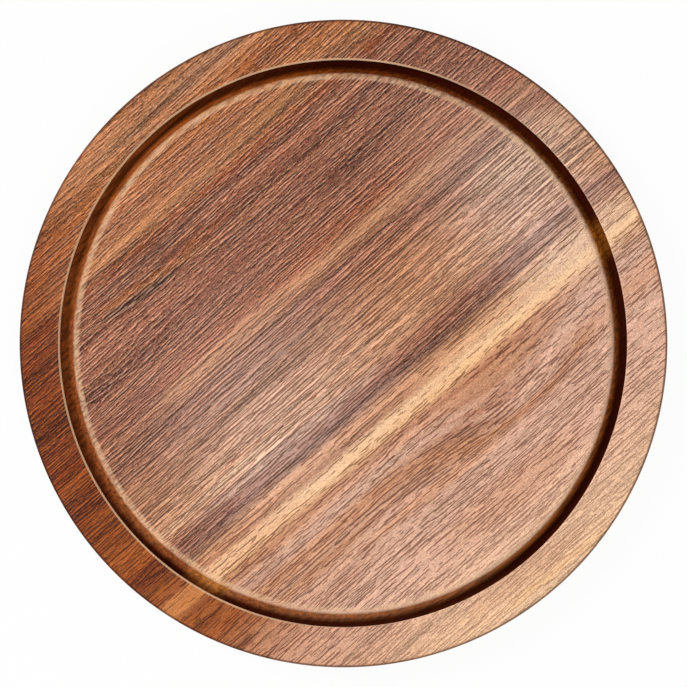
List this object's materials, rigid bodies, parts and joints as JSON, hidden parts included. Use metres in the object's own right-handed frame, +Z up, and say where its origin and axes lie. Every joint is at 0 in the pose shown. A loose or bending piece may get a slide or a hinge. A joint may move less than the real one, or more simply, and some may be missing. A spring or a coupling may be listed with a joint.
{
  "type": "pizza serving board",
  "caption": "Round wooden serving board, edge glued from straight staves, with a flat field, a juice groove all round it and a flat rim.",
  "frame": {"origin": "middle of the flat underside", "axes": "+Z up through the board to the serving face, X along the grain of the staves, Y across them"},
  "size_m": [0.32, 0.32, 0.015],
  "materials": {
    "pale_stave": "oiled, satin, pale pinkish brown with open pores",
    "streaked_stave": "oiled, satin, mid brown with dark and pale streaks",
    "dark_stave": "oiled, satin, dark red-brown with near-black streaks",
    "golden_stave": "oiled, satin, golden brown",
    "glue": "cured wood glue, brown, scraped flush"
  },
  "bodies": {
    "root": {"stave_1": "pale_stave", "stave_2": "pale_stave", "stave_3": "pale_stave", "stave_4": "streaked_stave", "stave_5": "streaked_stave", "stave_6": "dark_stave", "stave_7": "dark_stave", "stave_8": "dark_stave", "stave_9": "golden_stave", "glue_line_1": "glue", "glue_line_2": "glue", "glue_line_3": "glue", "glue_line_4": "glue", "glue_line_5": "glue", "glue_line_6": "glue", "glue_line_7": "glue", "glue_line_8": "glue"}
  },
  "joints": []
}
